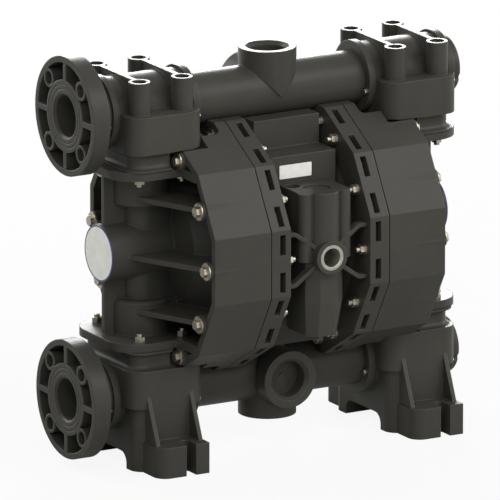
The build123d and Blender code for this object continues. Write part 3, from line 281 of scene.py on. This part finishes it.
# One material for each material slot of the record
silencer_tones = linear(92, 91, 88), linear(108, 106, 101)
stainless_tones = linear(168, 162, 149), linear(112, 105, 91)
palette = {
    "moulded_plastic": moulded("moulded_plastic", linear(58, 57, 53), linear(64, 63, 58)),
    "light_plastic": moulded("inner_plastic", linear(80, 79, 75), linear(92, 91, 86)),
    "silencer": moulded("silencer_plastic", *silencer_tones, grain=0.0003),
    "stainless": turned_metal("stainless_steel", *stainless_tones, rough=(0.3, 0.46)),
    "shaft": turned_metal("ground_steel", linear(200, 200, 198), linear(160, 158, 152)),
    "valve_metal": turned_metal("anodised_aluminium", linear(190, 190, 192), linear(160, 160, 160)),
    "inner_plate": turned_metal("cast_aluminium", linear(180, 180, 180), linear(140, 139, 136)),
    "elastomer": rubber("black_rubber", linear(38, 38, 38), linear(60, 59, 57)),
    "ball": polymer("white_polymer", linear(236, 233, 222), linear(222, 217, 202)),
    "bush": polymer("bearing_polymer", linear(176, 158, 122), linear(150, 132, 98)),
    "badge": round_badge(
        "badge_print", linear(232, 233, 227), linear(220, 222, 214), linear(52, 50, 112)
    ),
    "plate": blank_plate("plate_print", linear(242, 241, 236), linear(230, 228, 220)),
    "insert": threaded_metal("insert_metal", linear(172, 170, 160), linear(128, 125, 114)),
}

for entry in frame["record"]["subparts"]:
    piece = nodes[entry["node"]]
    piece.data.materials.clear()
    piece.data.materials.append(palette[entry["material_slot"]])


def floor_material():
    """Pale floor, nearly white to the camera, that keeps the object's soft shadow."""
    s = Shader("studio_floor")
    s.surface.inputs["Roughness"].default_value = 0.9
    s.surface.inputs["Specular IOR Level"].default_value = 0.1
    tint = s.remap(s.noise(scale=2.0), NOISE_SPREAD)
    s.link(s.mix(tint, linear(208, 208, 206), linear(214, 214, 212)), s.surface.inputs["Base Color"])
    glow = s.add("ShaderNodeEmission")
    glow.inputs["Color"].default_value = WHITE
    glow.inputs["Strength"].default_value = 1.0
    ray = s.add("ShaderNodeLightPath")
    share = s.math("MULTIPLY", ray.outputs["Is Camera Ray"], FLOOR_WHITE)
    blend = s.add("ShaderNodeMixShader")
    s.link(share, blend.inputs[0])
    s.link(s.surface.outputs[0], blend.inputs[1])
    s.link(glow.outputs[0], blend.inputs[2])
    output = next(n for n in s.tree.nodes if n.type == "OUTPUT_MATERIAL")
    s.link(blend.outputs[0], output.inputs["Surface"])
    return s.material


bpy.ops.mesh.primitive_plane_add(size=FLOOR_SIDE, location=(0.0, 0.0, -FLOOR_DROP))
floor = bpy.context.object
floor.name = "floor"
floor.data.materials.append(floor_material())

# World: soft grey light, white to the camera and in reflections
world = bpy.data.worlds.new("studio")
bpy.context.scene.world = world
world.use_nodes = True
sky = Graph(world.node_tree)
background = sky.tree.nodes["Background"]
background.inputs["Color"].default_value = WHITE
ray = sky.add("ShaderNodeLightPath")
seen = sky.math("MAXIMUM", ray.outputs["Is Camera Ray"], ray.outputs["Is Glossy Ray"])
clear = sky.math("MAXIMUM", seen, ray.outputs["Is Transmission Ray"])
level = sky.remap(clear, FULL, (WORLD_LIGHT, WORLD_WHITE))
sky.link(level, background.inputs["Strength"])


def place_in_scene(name, data, place, sight):
    """Object for this lamp or camera, at place and turned along sight."""
    holder = bpy.data.objects.new(name, data)
    bpy.context.scene.collection.objects.link(holder)
    holder.location = place
    holder.rotation_euler = sight.to_track_quat("-Z", "Y").to_euler()
    return holder


pump_middle = Vector((0.0, 0.0, SHAFT_Z))
for name, place, side, power in LAMPS:
    lamp = bpy.data.lights.new(name, "AREA")
    lamp.shape = "SQUARE"
    lamp.size = side
    lamp.energy = power
    place_in_scene(name, lamp, place, pump_middle - Vector(place))

lens = bpy.data.cameras.new("camera")
lens.lens = LENS
lens.sensor_width = SENSOR
distance = VIEW_WIDTH * LENS / SENSOR
lens.clip_start = CLIP_START
lens.clip_end = distance * CLIP_REACH
sight_along = math.cos(VIEW_ELEVATION)
sight = Vector(
    (
        sight_along * math.sin(VIEW_AZIMUTH),
        sight_along * math.cos(VIEW_AZIMUTH),
        -math.sin(VIEW_ELEVATION),
    )
)
bpy.context.scene.camera = place_in_scene("camera", lens, VIEW_CENTRE - sight * distance, sight)

bpy.context.scene.view_settings.view_transform = "Standard"
